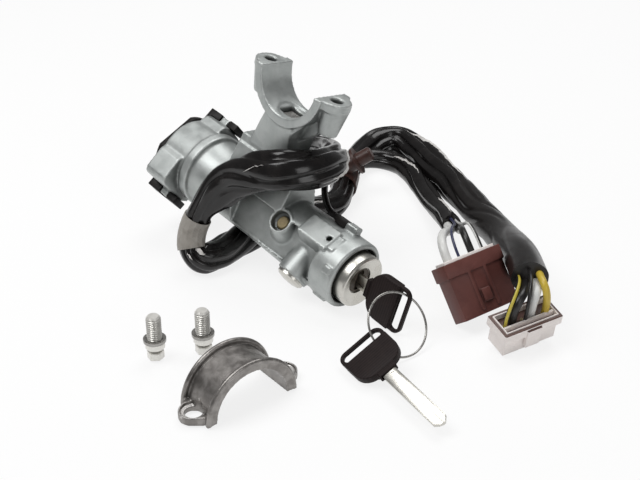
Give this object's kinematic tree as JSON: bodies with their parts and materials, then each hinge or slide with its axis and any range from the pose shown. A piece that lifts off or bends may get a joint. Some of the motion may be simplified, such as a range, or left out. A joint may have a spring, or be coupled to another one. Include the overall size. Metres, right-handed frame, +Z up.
{
  "type": "ignition switch with steering lock",
  "caption": "Cast ignition and steering lock with column saddle, keys on a ring, loose clamp cap and shear bolts, and a black wiring harness with moulded connectors.",
  "frame": {"origin": "on the table under the middle of the solid pieces (lock, keys, clamp cap and bolts), harness left out", "axes": "+Z up from the table, +Y away from the viewer of the picture, +X to the right of the picture"},
  "size_m": [0.2309, 0.32, 0.1216],
  "materials": {
    "cast_zinc": "as cast",
    "bright_nickel": "polished plate",
    "plated_steel": "zinc plated",
    "brass": "plain",
    "black_plastic": "moulded",
    "bow_plastic": "fine grain",
    "harness_vinyl": "glossy sleeve",
    "grey_tape": "taped",
    "brown_plastic": "moulded",
    "red_brown_plastic": "moulded",
    "pale_plastic": "moulded",
    "white_pvc": "wire insulation",
    "blue_pvc": "wire insulation",
    "black_pvc": "wire insulation",
    "striped_pvc": "wire insulation with a stripe",
    "yellow_pvc": "wire insulation"
  },
  "bodies": {
    "lock": {"lock_body": "cast_zinc", "switch_housing": "black_plastic", "switch_cover": "black_plastic", "switch_contacts": "brass", "cylinder_sleeve": "cast_zinc", "cylinder_bezel": "bright_nickel", "retainer_pin": "brass", "cross_plug": "bright_nickel", "warning_switch": "black_plastic", "bolt_spring": "plated_steel", "harness_grommet": "black_plastic", "clamp_cap": "plated_steel", "shear_bolt_left": "plated_steel", "shear_bolt_right": "plated_steel", "bolt_washer_left": "plated_steel", "bolt_washer_right": "plated_steel", "harness_trunk": "harness_vinyl", "harness_branch": "harness_vinyl", "harness_tape": "grey_tape", "harness_clip": "brown_plastic", "warning_lead": "harness_vinyl", "wire_a_white": "white_pvc", "wire_a_blue": "blue_pvc", "wire_a_black": "black_pvc", "wire_a_striped": "striped_pvc", "wire_b_striped": "yellow_pvc", "wire_b_black": "black_pvc", "wire_b_thin": "black_pvc", "wire_b_white": "white_pvc", "wire_b_yellow": "yellow_pvc", "connector_a_shell": "red_brown_plastic", "connector_a_retainer": "pale_plastic", "connector_a_terminals": "brass", "connector_b_shell": "brown_plastic", "connector_b_insert": "pale_plastic", "connector_b_terminals": "brass"},
    "plug": {"lock_plug": "bright_nickel", "wafers": "brass", "tailpiece": "plated_steel", "switch_rotor": "pale_plastic", "rotor_contact": "brass"},
    "key": {"key_blade": "bright_nickel", "key_bow": "bow_plastic"},
    "ring": {"key_ring": "plated_steel"},
    "spare": {"spare_key_blade": "bright_nickel", "spare_key_bow": "bow_plastic"},
    "bolt": {"lock_bolt": "plated_steel"}
  },
  "joints": [
    {"name": "key_turn", "type": "hinge", "parent": "lock", "child": "plug", "pos_m": [-0.0092, 0.0476, 0.0321], "axis": [-0.6779, 0.7144, 0.1736], "range_deg": [0, 110]},
    {"name": "key_pull", "type": "slide", "parent": "plug", "child": "key", "axis": [0.6779, -0.7144, -0.1736], "range_m": [0, 0.04]},
    {"name": "bolt_throw", "type": "slide", "parent": "lock", "child": "bolt", "axis": [0.2557, 0.0077, 0.9667], "range_m": [0, 0.008], "deforming": ["bolt_spring"]},
    {"name": "ring_swing", "type": "hinge", "parent": "key", "child": "ring", "pos_m": [0.06639, -0.02924, 0.02318], "axis": [-0.8536, -0.0726, 0.5158], "range_deg": [-20, 6]},
    {"name": "spare_swing", "type": "hinge", "parent": "ring", "child": "spare", "pos_m": [0.0486, -0.05461, 0.0127], "axis": [0.4668, -0.4788, -0.7435], "range_deg": [-20, 20]}
  ],
  "couplings": [
    {"joint": "bolt_throw", "follows": "key_pull", "ratio": 0.2}
  ]
}
